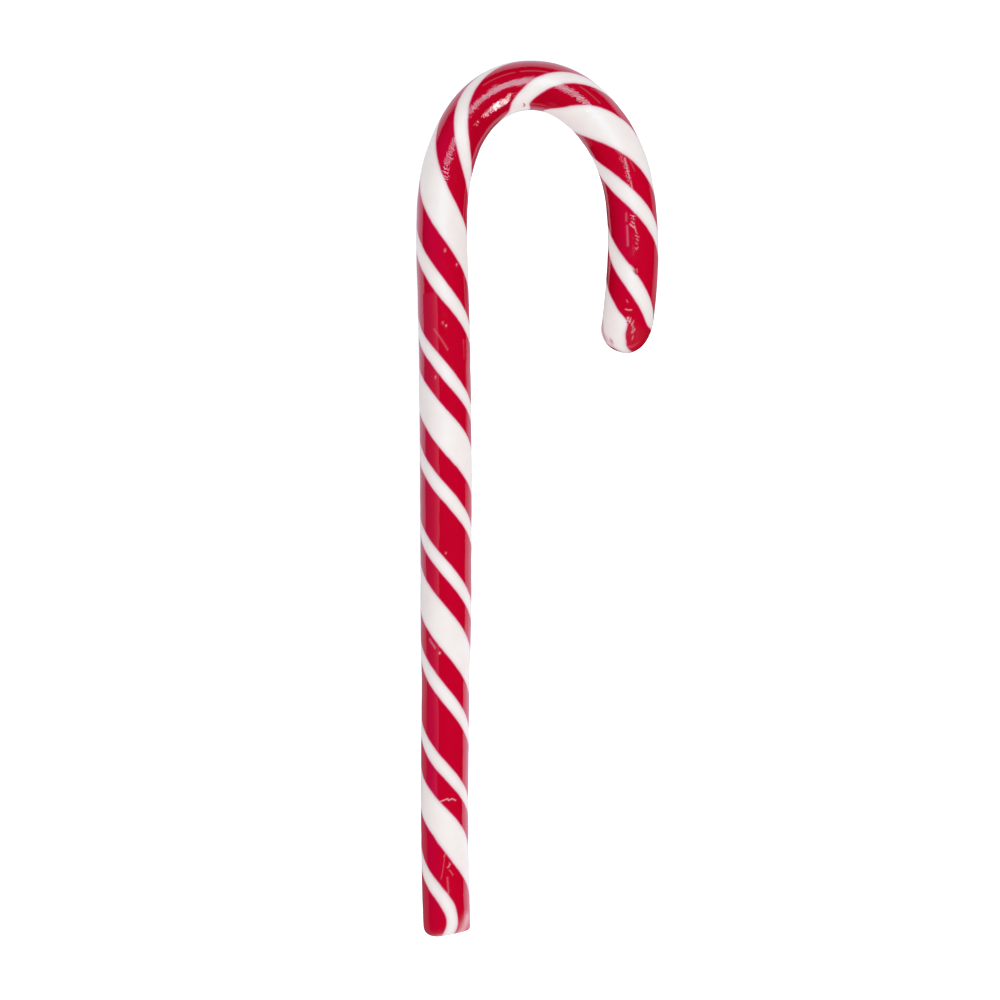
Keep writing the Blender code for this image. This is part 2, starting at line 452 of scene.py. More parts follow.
@dataclass
class SkinWearAndPaintedLight:
    """The relief of the skin in mm, gentle waves, stripe edges, ripples and the marks; and its
    colour marks, painted shade and painted glints.
    """

    wave_count: int = 22
    wave_height: float = 0.0055
    wave_lengths: tuple[float, float] = (3.0, 26.0)
    most_lobes: int = 5
    seed: int = 25
    stripe_rise: float = 0.018
    rise_reach: float = 0.5
    edge_groove: float = 0.010
    groove_width: float = 0.35
    # How far from the edge of the white the red takes its full painted shade and tint.
    red_reach: float = 0.3
    # How dull a fully pale mark is, and how dull the skin is at distances along the rod.
    paled_dulls: float = 0.7
    dull: tuple[tuple[float, float], ...] = ((0.5, 0.7), (1.6, 0.0), (202.5, 0.0), (204.5, 0.35))
    # Painted shade inside and outside the crown; the others tint the red pinker on the shoulder,
    # the arm and the low shaft.
    shade_and_tint_patches: tuple[ShadeAndTintPatch, ...] = (
        ShadeAndTintPatch(150, 34, 32, 50, darkened=0.4), ShadeAndTintPatch(158, 26, -24, 40, darkened=0.15),
        ShadeAndTintPatch(126, 24, -28, 60, tinted=0.20), ShadeAndTintPatch(188, 14, 20, 40, tinted=0.16),
        ShadeAndTintPatch(14, 26, -40, 45, tinted=0.14),
    )
    # Painted shade down the sides: degrees off the top, and how much darker the red is painted,
    # times a share by the distance along the rod, on its left and on its right.
    painted_side_shade: tuple[tuple[float, float], ...] = ((22, 0.0), (42, 0.22), (66, 0.42), (90, 0.5))
    side_left: tuple[tuple[float, float], ...] = (
        (20, 0.25), (60, 0.6), (90, 0.75), (155, 0.8), (175, 0.2),
    )
    side_right: tuple[tuple[float, float], ...] = ((115, 0.1), (140, 0.8), (180, 1.1))
    ripple_spacing: float = 0.45
    ripple_slant: float = 0.5
    ripple_fade: float = 1.0
    ripple_patches: tuple[RipplePatch, ...] = (
        RipplePatch(128.7, 136.2, 4, 26, 10.0), RipplePatch(138, 170, 0, 120, 5.0),
        RipplePatch(172, 185, 0, 90, 3.0), RipplePatch(202.4, 206, -12, 34, 22.0),
    )
    marks: tuple[Mark, ...] = (
        # Painted sheen on the foot's rim.
        Mark(MarkKind.RIM_SHEEN, ((0.2, 40), (1.2, 48), (2.6, 62)), 0.90, 1.0),
        Mark(MarkKind.RIM_SHEEN, ((0.1, -60), (0.1, -10)), 0.35, 0.8),
        Mark(MarkKind.NICK, ((1.1, 84), (1.3, 78)), 0.20, 1.0),
        Mark(MarkKind.SCRATCH_AND_GLINT, ((23.2, 28), (23.5, 19), (23.2, 10), (23.5, 8), (23.0, -10)), 0.08),
        Mark(MarkKind.RUB_AND_HIGHLIGHT, ((9.8, -10), (11.4, -5), (14.9, 2)), 0.06, 0.35),
        Mark(MarkKind.SCRATCH_AND_GLINT, ((12.0, 10), (12.3, 13), (11.7, 6)), 0.08, 0.55),
        Mark(MarkKind.SCRATCH_AND_GLINT, ((12.6, 11), (11.8, 10)), 0.06, 0.4),
        Mark(MarkKind.SCRATCH_AND_GLINT, ((11.3, 10), (10.9, 15), (10.4, 19)), 0.06, 0.4),
        Mark(MarkKind.RUB_AND_HIGHLIGHT, ((13.6, -2), (14.4, 4)), 0.09, 0.6),
        Mark(MarkKind.RUB_AND_HIGHLIGHT, ((7.3, 7), (8.6, 6), (10.0, 5)), 0.13, 0.35),
        Mark(MarkKind.BUBBLE, ((48.4, -14), (48.45, -14)), 0.15),
        Mark(MarkKind.RUB_AND_HIGHLIGHT, ((49.3, -25), (50.7, -40)), 0.12, 0.8),
        Mark(MarkKind.BUBBLE, ((65.5, 0), (65.55, 0)), 0.12, 0.6),
        Mark(MarkKind.BUBBLE, ((95.5, -21), (95.6, -21)), 0.13, 0.7),
        Mark(MarkKind.RUB_AND_HIGHLIGHT, ((100.2, 8), (102.0, -6), (103.8, -22)), 0.10, 0.4),
        Mark(MarkKind.BUBBLE, ((104.3, 5), (104.35, 5)), 0.13, 0.9),
        Mark(MarkKind.BUBBLE, ((104.8, -1), (104.85, -3)), 0.12, 0.7),
        Mark(MarkKind.BUBBLE, ((114.7, 34), (114.8, 34)), 0.13, 0.8),
        Mark(MarkKind.BUBBLE, ((117.2, 7), (117.3, 7)), 0.15, 0.7),
        Mark(MarkKind.NICK, ((151.6, 58), (151.9, 53), (151.7, 48)), 0.16, 1.0),
        # Painted highlight lines along the outside of the crown.
        Mark(MarkKind.RUB_AND_HIGHLIGHT, ((146.0, -33), (151.0, -33)), 0.07, 0.35),
        Mark(MarkKind.RUB_AND_HIGHLIGHT, ((151.8, -33), (156.0, -33)), 0.07, 0.45),
        Mark(MarkKind.RUB_AND_HIGHLIGHT, ((161.0, -30), (165.0, -30)), 0.07, 0.4),
        # Painted highlight strokes where the crown's highlight runs on toward the arm.
        Mark(MarkKind.SCRATCH_AND_GLINT, ((174.7, -9), (175.9, -7)), 0.08, 0.55),
        Mark(MarkKind.SCRATCH_AND_GLINT, ((176.3, -6), (178.2, -6)), 0.08, 0.65),
        Mark(MarkKind.SCRATCH_AND_GLINT, ((178.8, -7), (180.4, -7)), 0.10, 0.5),
        Mark(MarkKind.RUB_AND_HIGHLIGHT, ((175.0, -18), (177.0, -22)), 0.09, 0.2),
        # A painted highlight streak along the arm.
        Mark(MarkKind.RUB_AND_HIGHLIGHT, ((184.0, 14), (185.3, 15)), 0.16, 0.3),
        Mark(MarkKind.RUB_AND_HIGHLIGHT, ((186.2, 14), (189.6, 13)), 0.16, 0.4),
        Mark(MarkKind.CREASE, ((184.7, 68), (184.5, 45), (184.8, 20)), 0.16),
        Mark(MarkKind.SCRATCH_AND_GLINT, ((185.5, 3), (185.9, -3)), 0.08, 0.6),
        Mark(MarkKind.SCRATCH_AND_GLINT, ((185.9, 7), (186.5, -1)), 0.08, 0.9),
        Mark(MarkKind.SCRATCH_AND_GLINT, ((186.3, -3), (187.2, -6)), 0.08, 0.7),
        Mark(MarkKind.SCRATCH_AND_GLINT, ((187.3, -6), (187.6, -9)), 0.07, 0.5),
        Mark(MarkKind.SCRATCH_AND_GLINT, ((187.9, -5), (188.2, -12)), 0.07, 0.6),
        Mark(MarkKind.SCRATCH_AND_GLINT, ((188.5, -7), (188.8, -11)), 0.07, 0.6),
        Mark(MarkKind.SCRATCH_AND_GLINT, ((189.1, -5), (189.4, -9)), 0.07, 0.4),
        Mark(MarkKind.SCRATCH_AND_GLINT, ((189.9, -10), (190.3, -7), (190.0, -4)), 0.07, 0.5),
        Mark(MarkKind.SCRATCH_AND_GLINT, ((193.0, 7), (193.4, 1), (193.9, -4)), 0.11, 0.9),
        Mark(MarkKind.NICK, ((193.2, -5), (193.4, -9)), 0.13, 0.8),
        Mark(MarkKind.NICK, ((193.9, -2), (194.5, -8)), 0.13, 0.9),
        Mark(MarkKind.SCRATCH_AND_GLINT, ((193.5, -9), (194.2, -10)), 0.07, 0.5),
        # Painted glint strokes on the tip.
        Mark(MarkKind.SCRATCH_AND_GLINT, ((199.0, 9), (199.4, 5)), 0.07, 0.4),
        Mark(MarkKind.SCRATCH_AND_GLINT, ((200.6, 9), (200.7, 2), (200.6, -5)), 0.08, 0.8),
        Mark(MarkKind.SCRATCH_AND_GLINT, ((202.1, 2), (202.6, -4), (203.1, -10)), 0.09, 0.9),
        Mark(MarkKind.SCRATCH_AND_GLINT, ((202.2, -5), (202.6, -12)), 0.07, 0.6),
        Mark(MarkKind.SCRATCH_AND_GLINT, ((203.3, -9), (203.6, -15)), 0.07, 0.6),
        Mark(MarkKind.SCRATCH_AND_GLINT, ((203.8, -12), (203.9, -18)), 0.07, 0.6),
        Mark(MarkKind.SCRATCH_AND_GLINT, ((204.3, -11), (204.4, -17)), 0.07, 0.5),
        Mark(MarkKind.SCRATCH_AND_GLINT, ((204.9, -14), (205.3, -20), (205.6, -15)), 0.07, 0.5),
        Mark(MarkKind.STAIN, ((203.5, 76), (204.8, 70), (206.2, 66)), 0.50, 0.6),
        Mark(MarkKind.STAIN, ((205.6, 62), (206.8, 48)), 0.60, 0.3),
        Mark(MarkKind.STAIN, ((206.25, 44), (206.45, 42)), 0.36, 0.8),
    )

    def waves(self, rod: PulledRod, along: np.ndarray, around: np.ndarray) -> np.ndarray:
        """Give the gentle unevenness that pulling and rolling by hand leave.

        It is a sum of cosine waves, each with its own length along the rod, its own number of
        lobes round it and its own phase. A wave's height falls with the square root of its
        length, down to the shortest.

        Args:
            rod: The rod that the skin is on.
            along: Distances along the rod in metres, one for each point.
            around: Angles round the rod in radians, one for each point.

        Returns:
            The unevenness in metres, one for each point.
        """
        draw = np.random.default_rng(self.seed)
        shortest, longest = self.wave_lengths
        total = np.zeros_like(along)
        for index in range(self.wave_count):
            share = index / (self.wave_count - 1)
            length = shortest * (longest / shortest) ** share * MM
            lobes = int(draw.integers(-self.most_lobes, self.most_lobes + 1))
            phase = draw.uniform(0.0, 2.0 * np.pi)
            height = self.wave_height * MM * math.sqrt(length / (shortest * MM)) / 2
            total += height * np.cos(2.0 * np.pi * along / length + lobes * around + phase)
        return total

    def mark_shape(
        self, mark: Mark, rod: PulledRod, along: np.ndarray, around: np.ndarray
    ) -> np.ndarray:
        """Give how strongly a mark shows at each point.

        The rod is rolled out flat, and the strength falls off as the exponential of minus the
        square of the distance from the mark's line over its width.

        Args:
            mark: The mark.
            rod: The rod that the mark is on.
            along: Distances along the rod in metres, one for each point.
            around: Angles round the rod in radians, one for each point.

        Returns:
            The strength, from 0 far from the mark to the mark's own on its line.
        """
        radius = np.interp(along, rod.distance, rod.radius)
        places = np.array([(place * MM, np.radians(turn)) for place, turn in mark.path])
        nearest = np.full(along.shape, np.inf)
        for (start, start_turn), (end, end_turn) in zip(places[:-1], places[1:]):
            run = end - start
            climb = (end_turn - start_turn) * radius
            ahead = along - start
            beside = (around - start_turn) * radius
            share = np.clip((ahead * run + beside * climb) / (run**2 + climb**2), 0.0, 1.0)
            nearest = np.minimum(nearest, np.hypot(ahead - share * run, beside - share * climb))
        return mark.strength * np.exp(-((nearest / (mark.width * MM)) ** 2))

    def apply(
        self, rod: PulledRod, along: np.ndarray, around: np.ndarray, depth: np.ndarray
    ) -> tuple[np.ndarray, dict[str, np.ndarray]]:
        """Work out the whole relief, and how pale, tinted, dark and dull the skin is.

        The white stripes stand a little proud of the red, with a shallow groove on the line
        where they meet. The marks' heights are added, and their colours overlap; their pale
        paint is partly painted glint and sheen. Pale marks and the rim of the foot are dull, and
        the red is painted darker down the sides and in patches, as painted shade.

        Args:
            rod: The rod that the skin is on.
            along: Distances along the rod in metres, one for each point.
            around: Angles round the rod in radians, one for each point.
            depth: Millimetres inside a white stripe, one for each point.

        Returns:
            The relief in metres, and the attributes by name, one number each for each point.
        """
        relief = self.waves(rod, along, around)
        relief += self.stripe_rise * MM * smooth_step(depth, -self.rise_reach, self.rise_reach)
        relief -= self.edge_groove * MM * np.exp(-((depth / self.groove_width) ** 2))
        shades = {name: np.zeros_like(along) for name in (PALED, TINTED, DARKENED)}
        for mark in self.marks:
            shape = self.mark_shape(mark, rod, along, around)
            style = mark.kind.value
            relief += style.height * MM * shape
            for name, shade in zip(shades, (style.paled, style.tinted, style.darkened)):
                shades[name] = np.maximum(shades[name], shade * shape)
        red = 1 - smooth_step(depth, -self.red_reach, 0.0)
        self.paint_shade_and_tint(along / MM, np.degrees(around), red, shades)
        dull_at, dull_by = np.array(self.dull).T
        dulled = np.interp(along, dull_at * MM, dull_by)
        shades[DULLED] = np.maximum(dulled, self.paled_dulls * shades[PALED])
        shades[RIPPLE_HEIGHT], shades[RIPPLE_TURNS] = self.ripples(rod, along, around)
        return relief, shades

    def paint_shade_and_tint(
        self,
        along: np.ndarray,
        around: np.ndarray,
        red: np.ndarray,
        shades: dict[str, np.ndarray],
    ) -> None:
        """Paint shade on the red down the sides and in some patches, and tint it pinker in others.

        A patch is a hump along the rod times one round it, and the strongest counts.

        Args:
            along: Distances along the rod in mm, one for each point.
            around: Angles round the rod in degrees, one for each point.
            red: 1 in the red and 0 in the white, one for each point.
            shades: The attributes by name, which are changed.
        """
        left, right = (
            np.interp(along, *np.array(shares).T) for shares in (self.side_left, self.side_right)
        )
        # Painted shade down the sides, then the patches' painted shade and pink tint.
        side = np.interp(np.abs(around), *np.array(self.painted_side_shade).T)
        deep = side * np.where(around < 0, left, right)
        pink = np.zeros_like(along)
        for patch in self.shade_and_tint_patches:
            shape = hump(along, patch.along, patch.reach_along)
            shape = shape * hump(around, patch.around, patch.reach_around)
            deep = np.maximum(deep, patch.darkened * shape)
            pink = np.maximum(pink, patch.tinted * shape)
        shades[DARKENED] = np.maximum(shades[DARKENED], red * deep)
        shades[TINTED] = np.maximum(shades[TINTED], red * pink)

    def ripples(
        self, rod: PulledRod, along: np.ndarray, around: np.ndarray
    ) -> tuple[np.ndarray, np.ndarray]:
        """Say how high the fine ripples are, and how many have passed, at each point.

        The ripples lie across the rod at a slant: their number is the distance along it, plus
        the slant times the distance round it, over their spacing. Where patches overlap the
        highest counts, and each fades out at its ends.

        Args:
            rod: The rod that the skin is on.
            along: Distances along the rod in metres, one for each point.
            around: Angles round the rod in radians, one for each point.

        Returns:
            The height in micrometres and the number of ripples, one each for each point.
        """
        beside = np.interp(along, rod.distance, rod.radius) * around
        turns = (along + self.ripple_slant * beside) / (self.ripple_spacing * MM)
        height = np.zeros_like(along)
        for patch in self.ripple_patches:
            begun, left = (
                smooth_step(along / MM, edge - self.ripple_fade, edge + self.ripple_fade)
                for edge in (patch.start, patch.end)
            )
            sideways = hump(np.degrees(around), patch.around, patch.reach)
            height = np.maximum(height, patch.height * (begun * (1 - left)) * sideways)
        return height, turns


@dataclass(frozen=True)
class BoiledSugar:
    """Boiled sugar, pulled, dyed and rolled: hard, smooth and glossy like a boiled sweet.

    The dye makes the red deep and even. Pulling folds fine air into the white, so it is milky
    and bounces light back, and the dye creeps a hair's breadth into it, which puts a soft
    magenta edge on each stripe. Rolling by hand leaves faint ripples in the gloss.
    """

    name: str = "boiled_sugar_pulled_glossy"
    # Millimetres inside a white stripe, and the colour there.
    edge_colours: tuple[tuple[float, str], ...] = (
        (-0.16, "#C5002A"),
        (-0.08, "#C62D55"),
        (0.00, "#D47892"),
        (0.08, "#E3B5C1"),
        (0.16, "#EAD5DA"),
        (0.35, "#EFE5E5"),
        (0.70, "#F5F0EF"),
    )
    cloud: str = "#F6F1EE"
    # The pale pink of the marks, partly painted glint and sheen; the magenta tint; and the crimson
    # of the nicks and of the painted shade.
    pale_pink: str = "#F0BFCB"
    magenta_tint: str = "#C40E62"
    crimson: str = "#86020E"
    roughness: tuple[float, float] = (0.05, 0.075)
    white_roughness: float = 0.42
    dull_roughness: float = 0.5
    refraction: float = 1.5
    # Sizes in mm; the clouds' noise that is spread over the two roughnesses; and how deep in
    # a white stripe its own roughness begins, and is full.
    cloud_size: float = 4.0
    cloud_range: tuple[float, float] = (0.3, 0.7)
    white_begins: float = -0.1
    white_full: float = 0.3
    edge_wander: float = 0.04
    edge_wander_size: float = 1.5
    grain_size: float = 0.6
    grain_height: float = 0.0003
    ripple_wander: float = 1.5
    ripple_wander_size: float = 2.0

    def material(self) -> bpy.types.Material:
        """Make the material: the stripes and marks colour it, under one gloss.

        Returns:
            The material, with one Principled shader.
        """
        material = bpy.data.materials.new(self.name)
        material.use_nodes = True
        tree = material.node_tree
        shader = tree.nodes["Principled BSDF"]
        shader.inputs["IOR"].default_value = self.refraction
        shader.inputs["Metallic"].default_value = 0.0
        place = add_node(tree, "ShaderNodeTexCoord", {}, output="Object")
        clouds, wander, grain, drift = (
            add_node(
                tree,
                "ShaderNodeTexNoise",
                {"Vector": place, "Scale": 1.0 / (size * MM), "Detail": detail},
            )
            for size, detail in (
                (self.cloud_size, 3.0), (self.edge_wander_size, 2.0), (self.grain_size, 2.0),
                (self.ripple_wander_size, 2.0),
            )
        )
        skin_attributes = {
            name: add_node(tree, "ShaderNodeAttribute", {}, {"attribute_name": name}, "Fac")
            for name in (STRIPE_DEPTH, PALED, TINTED, DARKENED, DULLED, RIPPLE_HEIGHT, RIPPLE_TURNS)
        }
        tree.links.new(self.colour(tree, skin_attributes, clouds, wander), shader.inputs["Base Color"])
        tree.links.new(self.gloss(tree, skin_attributes, clouds), shader.inputs["Roughness"])
        tree.links.new(self.turned_normal(tree, skin_attributes, grain, drift), shader.inputs["Normal"])
        return material

    def colour(self, tree: Any, skin_attributes: dict[str, Any], clouds: Any, wander: Any) -> Any:
        """Colour the stripes by how deep in the white a point is, then lay on the marks, the
        painted shade and the painted glints and sheen.

        Args:
            tree: The material's node tree.
            skin_attributes: The sockets that give the mesh's attributes, by name.
            clouds: The socket that gives the slow clouds in the sugar.
            wander: The socket of the noise that the stripes' edges wander with.

        Returns:
            The socket that gives the colour.
        """
        edge = add_node(
            tree,
            "ShaderNodeMath",
            {0: wander, 1: NOISE_SPREAD * self.edge_wander, 2: skin_attributes[STRIPE_DEPTH]},
            {"operation": "MULTIPLY_ADD"},
        )
        first, last = self.edge_colours[0][0], self.edge_colours[-1][0]
        middle = NOISE_SPREAD / 2.0 * self.edge_wander
        share = add_node(
            tree,
            "ShaderNodeMapRange",
            {"Value": edge, "From Min": first + middle, "From Max": last + middle},
        )
        sugar = add_node(tree, "ShaderNodeValToRGB", {"Fac": share}, output="Color")
        stops = sugar.node.color_ramp.elements
        stops.remove(stops[1])
        for place_in, colour in self.edge_colours:
            position = (place_in - first) / (last - first)
            stop = stops[0] if position == 0.0 else stops.new(position)
            stop.color = linear_colour(colour)
        sugar = add_node(
            tree,
            "ShaderNodeMix",
            {0: clouds, 6: sugar, 7: linear_colour(self.cloud)},
            {"data_type": "RGBA", "blend_type": "MULTIPLY"},
            2,
        )
        # The magenta tint, the pale paint with its painted glints, and the crimson with its
        # painted shade go on over the stripes.
        for name, colour in (
            (TINTED, self.magenta_tint), (PALED, self.pale_pink), (DARKENED, self.crimson),
        ):
            sugar = add_node(
                tree,
                "ShaderNodeMix",
                {0: skin_attributes[name], 6: sugar, 7: linear_colour(colour)},
                {"data_type": "RGBA"},
                2,
            )
        return sugar

    def gloss(self, tree: Any, skin_attributes: dict[str, Any], clouds: Any) -> Any:
        """Make the gloss uneven with the clouds, softer on the white, and dull where rubbed.

        Args:
            tree: The material's node tree.
            skin_attributes: The sockets that give the mesh's attributes, by name.
            clouds: The socket that gives the slow clouds in the sugar.

        Returns:
            The socket that gives the roughness.
        """
        smoothest, roughest = self.roughness
        even = add_node(
            tree,
            "ShaderNodeMapRange",
            {
                "Value": clouds,
                "From Min": self.cloud_range[0],
                "From Max": self.cloud_range[1],
                "To Min": smoothest,
                "To Max": roughest,
            },
        )
        white = add_node(
            tree,
            "ShaderNodeMapRange",
            {
                "Value": skin_attributes[STRIPE_DEPTH],
                "From Min": self.white_begins,
                "From Max": self.white_full,
            },
        )
        for share, duller in ((white, self.white_roughness), (skin_attributes[DULLED], self.dull_roughness)):
            even = add_node(
                tree, "ShaderNodeMix", {0: share, 2: even, 3: duller}, {"data_type": "FLOAT"}
            )
        return even

    def turned_normal(self, tree: Any, skin_attributes: dict[str, Any], grain: Any, drift: Any) -> Any:
        """Turn the surface a little: fine grain all over, and slanting ripples in patches.

        A ripple is the sine of its number, which wanders with a slow noise, and the grain
        roughens it. Its height comes in micrometres, and what the bump gets is in millimetres.

        Args:
            tree: The material's node tree.
            skin_attributes: The sockets that give the mesh's attributes, by name.
            grain: The socket of the noise that is the fine grain.
            drift: The socket of the noise that the ripples wander with.

        Returns:
            The socket that gives the turned normal.
        """
        height: Any = drift
        for operation, second, third in (
            ("MULTIPLY_ADD", NOISE_SPREAD * self.ripple_wander, skin_attributes[RIPPLE_TURNS]),
            ("MULTIPLY", 2.0 * math.pi, 0.0), ("SINE", 0.0, 0.0),
        ):
            height = add_node(
                tree, "ShaderNodeMath", {0: height, 1: second, 2: third}, {"operation": operation}
            )
        height = add_node(
            tree, "ShaderNodeMath", {0: grain, 1: 2.0, 2: height}, {"operation": "MULTIPLY_ADD"}
        )
        for factor in (skin_attributes[RIPPLE_HEIGHT], MM):
            height = add_node(
                tree, "ShaderNodeMath", {0: height, 1: factor}, {"operation": "MULTIPLY"}
            )
        relief = add_node(
            tree,
            "ShaderNodeMath",
            {0: grain, 1: self.grain_height, 2: height},
            {"operation": "MULTIPLY_ADD"},
        )
        return add_node(
            tree,
            "ShaderNodeBump",
            {"Strength": 1.0, "Distance": MM, "Height": relief},
            output="Normal",
        )


@dataclass
class CandyCane:
    """The cane as one closed skin, with its stripes, its marks, and the painted shade and glints
    on it.
    """

    rod: PulledRod = field(default_factory=PulledRod)
    stripes: WoundStripes = field(default_factory=WoundStripes)
    wear_and_painted_light: SkinWearAndPaintedLight = field(default_factory=SkinWearAndPaintedLight)
    finish: BoiledSugar = field(default_factory=BoiledSugar)
    # Degrees either side of the top, and the degrees between columns up to there.
    column_spacing: tuple[tuple[float, float], ...] = ((36.0, 1.7), (96.0, 3.0), (180.0, 7.5))
    ring_spacing: float = 0.29
    fine_spacing: float = 0.125
    fine_stretches: tuple[tuple[float, float], ...] = (
        (7.0, 14.5), (22.5, 24.2), (128.5, 136.0), (142.0, 149.5), (151.0, 152.6), (183.5, 206.0),
    )
    # In mm: over how far the rings draw together, and the step in which they are counted.
    stretch_fade: float = 1.0
    count_step: float = 0.01
    angle_samples: int = 7201
    foot_rings: int = 16
    tip_rings: int = 22
    map_strips: int = 3
    map_gap: float = 0.012

    def build(self) -> bpy.types.Object:
        """Make the cane's mesh, in the place of the CAD node, with its attributes and map.

        Returns:
            The cane's object, at the origin, unturned and unscaled.
        """
        rings = self.ring_distances()
        columns = self.column_angles()
        along = np.repeat(rings[:, None], len(columns), axis=1)
        around = np.repeat(columns[None, :], len(rings), axis=0)
        depth = self.stripes.depth(self.rod, along, around)
        relief, shades = self.wear_and_painted_light.apply(self.rod, along, around, depth)
        skin = self.rod.surface(along, around, relief).reshape(-1, 3)
        ends = np.array((0.0, self.rod.length))
        poles = self.rod.surface(ends, np.zeros(2), np.zeros(2))
        points = self.placed(np.concatenate((skin, poles)))
        mesh = self.skin_mesh(points, rings, columns)
        for name, values in {STRIPE_DEPTH: depth, **shades}.items():
            attribute = mesh.attributes.new(name, "FLOAT", "POINT")
            every = np.concatenate((values.ravel(), (values[0].mean(), values[-1].mean())))
            attribute.data.foreach_set("value", every.astype(np.float32))
        cane = bpy.data.objects.new("candy_cane", mesh)
        bpy.context.scene.collection.objects.link(cane)
        return cane

    def dress(self, cane: bpy.types.Object) -> None:
        """Give the cane its finish, tie it to the body, and hide the CAD node that it stands for.

        Args:
            cane: The cane's object.
        """
        cane.data.materials.append(self.finish.material())
        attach(cane, BODY_NAME)
        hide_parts(NODE_NAME)

    def ring_distances(self) -> np.ndarray:
        """Choose where the rings are: cosine steps on the ends, then close on the fine marks.

        Between the ends, the number of rings up to a distance is the sum of 1 over the spacing
        that holds there. A ring lies on each cut between the map's strips.

        Returns:
            The distances along the rod, in metres, foot to tip.
        """
        rod = self.rod
        foot = np.linspace(0.0, np.pi / 2, self.foot_rings + 1)[1:]
        tip = np.linspace(np.pi / 2, 0.0, self.tip_rings + 1)[:-1]
        foot_rings = rod.foot_height * (1 - np.cos(foot))
        tip_rings = rod.length - rod.tip_outer_height * (1 - np.cos(tip))
        fine = np.arange(foot_rings[-1], tip_rings[0], self.count_step * MM)
        spacing = np.full(fine.shape, self.ring_spacing)
        for start, end in self.fine_stretches:
            closeness = smooth_step(fine / MM, start - self.stretch_fade, start)
            closeness -= smooth_step(fine / MM, end, end + self.stretch_fade)
            spacing -= (self.ring_spacing - self.fine_spacing) * closeness
        count = np.concatenate(((0.0,), np.cumsum(self.count_step / spacing[:-1])))
        middle = np.interp(np.arange(1, int(count[-1])), count, fine)
        for cut in self.strip_cuts()[1:-1]:
            middle[np.argmin(np.abs(middle - cut))] = cut
        return np.concatenate((foot_rings, middle, tip_rings))

    def column_angles(self) -> np.ndarray:
        """Choose the angles of the columns: close together on top, wider underneath.

        The number of columns up to an angle is the sum of 1 over the spacing that holds there,
        stretched a little so that a whole number goes round. The first is at the bottom.

        Returns:
            The angles round the rod, in radians, from -pi up to below pi.
        """
        fine = np.linspace(-180.0, 180.0, self.angle_samples)
        limits, spacings = np.array(self.column_spacing).T
        spacing = spacings[np.searchsorted(limits, np.abs(fine))]
        count = np.concatenate(((0.0,), np.cumsum(np.diff(fine) / spacing[1:])))
        total = 2 * round(count[-1] / 2)
        wanted = np.arange(total) * count[-1] / total
        return np.radians(np.interp(wanted, count, fine))

    def strip_cuts(self) -> np.ndarray:
        """Give the distances at which the rolled-out skin is cut into strips for its map."""
        return np.linspace(0.0, self.rod.length, self.map_strips + 1)

    def rod_line(self) -> np.ndarray:
        """Give the rod's middle in plan, a place for each millimetre, where the cane lies."""
        return self.placed(self.rod.plan[:: round(MM / self.rod.step)])

    def placed(self, points: np.ndarray) -> np.ndarray:
        """Move points in plan so that the middle of the bare rod's outline is the CAD node's.

        The outline is that of the two lines along the rod's left and right sides, and what is
        added is the middle of the node's box less the middle of theirs.

        Args:
            points: Places in plan or in space, with x and y first in the last axis.

        Returns:
            The moved points, in the same shape.
        """
        low, high = (np.array(corner)[:2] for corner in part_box(NODE_NAME))
        along, around = np.meshgrid(self.rod.distance, np.radians((-90.0, 90.0)))
        outline = self.rod.surface(along, around, np.zeros_like(along))[..., :2].reshape(-1, 2)
        shift = (low + high) / 2 - (outline.min(axis=0) + outline.max(axis=0)) / 2
        moved = points.copy()
        moved[..., :2] += shift
        return moved

    def skin_mesh(
        self, points: np.ndarray, rings: np.ndarray, columns: np.ndarray
    ) -> bpy.types.Mesh:
        """Join the points: four-sided faces between the rings, and a fan at each end.

        Args:
            points: All rings' points, ring by ring, then the foot's pole and the tip's.
            rings: The rings' distances along the rod.
            columns: The columns' angles round the rod.

        Returns:
            The mesh, smooth, with its faces pointing outward and its bake map.
        """
        many = len(columns)
        last = (len(rings) - 1) * many
        here = np.arange(many)
        beside = (here + 1) % many
        near = np.arange(len(rings) - 1)[:, None] * many
        quads = np.stack(
            (near + here, near + beside, near + many + beside, near + many + here), axis=-1
        ).reshape(-1, 4)
        foot_pole, tip_pole = len(points) - 2, len(points) - 1
        foot = np.stack((np.full(many, foot_pole), beside, here), axis=-1)
        tip = np.stack((np.full(many, tip_pole), last + here, last + beside), axis=-1)
        corners = np.concatenate((quads.ravel(), foot.ravel(), tip.ravel()))
        sizes = np.concatenate((np.full(len(quads), 4), np.full(2 * many, 3)))
        mesh = bpy.data.meshes.new("candy_cane")
        mesh.vertices.add(len(points))
        mesh.vertices.foreach_set("co", points.astype(np.float32).ravel())
        mesh.loops.add(len(corners))
        mesh.loops.foreach_set("vertex_index", corners.astype(np.int32))
        mesh.polygons.add(len(sizes))
        starts = np.concatenate(((0,), np.cumsum(sizes)[:-1]))
        mesh.polygons.foreach_set("loop_start", starts.astype(np.int32))
        mesh.polygons.foreach_set("use_smooth", np.ones(len(sizes), bool))
        self.write_bake_map(mesh, rings, columns)
        mesh.update(calc_edges=True)
        mesh.validate()
        return mesh

